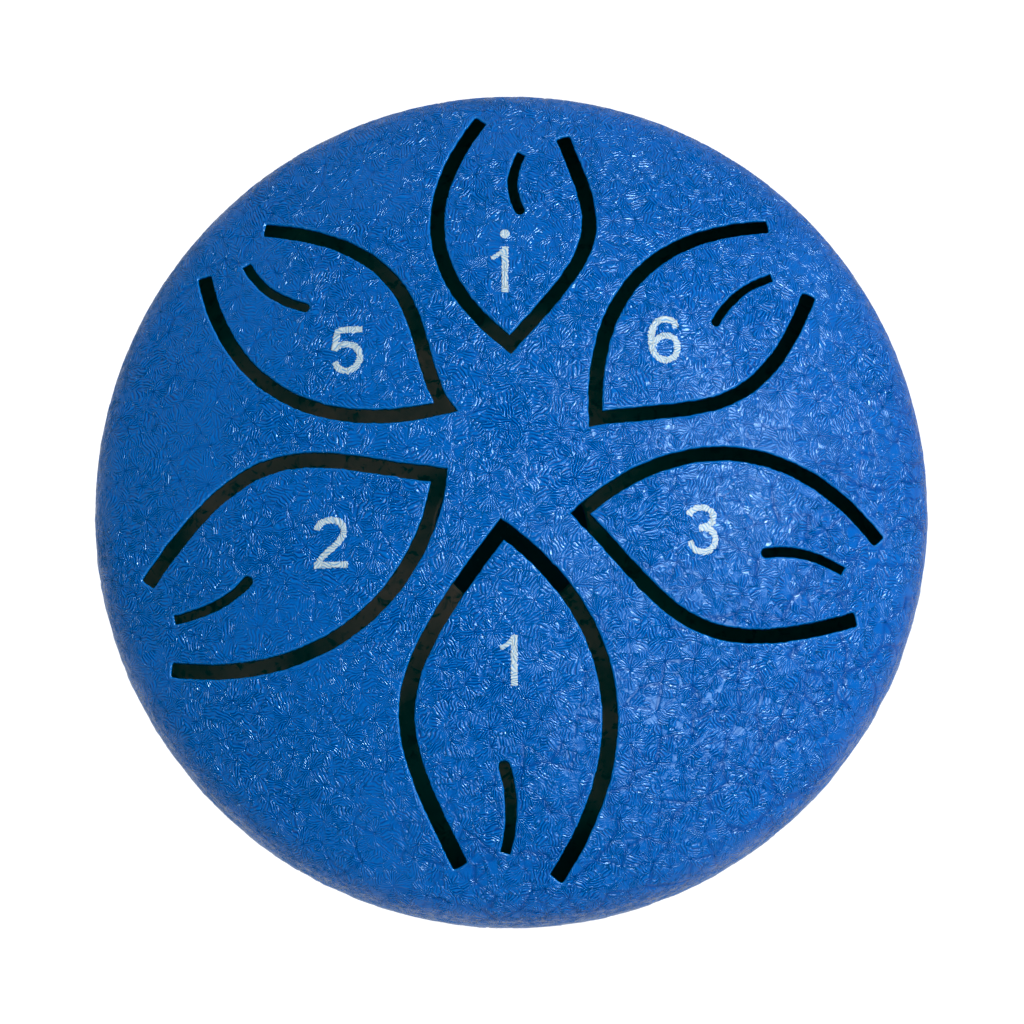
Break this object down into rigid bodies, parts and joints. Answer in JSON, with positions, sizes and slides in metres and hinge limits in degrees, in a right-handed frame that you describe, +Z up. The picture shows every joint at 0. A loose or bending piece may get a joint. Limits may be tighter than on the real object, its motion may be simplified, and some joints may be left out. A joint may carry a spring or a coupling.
{
  "type": "steel tongue drum",
  "caption": "Small round steel tongue drum: two pressed shells welded at the rim, leaf-shaped tongues slit in the domed top, a sound hole underneath and rubbery feet.",
  "frame": {"origin": "the drum's axis, on the surface that its feet stand on", "axes": "+Z up along the drum's axis, out of the domed top; -Y towards the player, where the lowest tongue's root is; +X to the player's right"},
  "size_m": [0.0786, 0.0786, 0.0435],
  "materials": {
    "enamel": "blue wrinkle powder coat on steel, semi-gloss, the folds about a third of a millimetre apart",
    "silicone": "black silicone rubber, satin",
    "adhesive": "thin double-sided adhesive foam, matt"
  },
  "bodies": {
    "root": {"top_shell": "enamel", "bottom_shell": "enamel", "rim_weld": "enamel", "foot_1": "silicone", "foot_2": "silicone", "foot_3": "silicone", "foot_tape_1": "adhesive", "foot_tape_2": "adhesive", "foot_tape_3": "adhesive"}
  },
  "joints": []
}
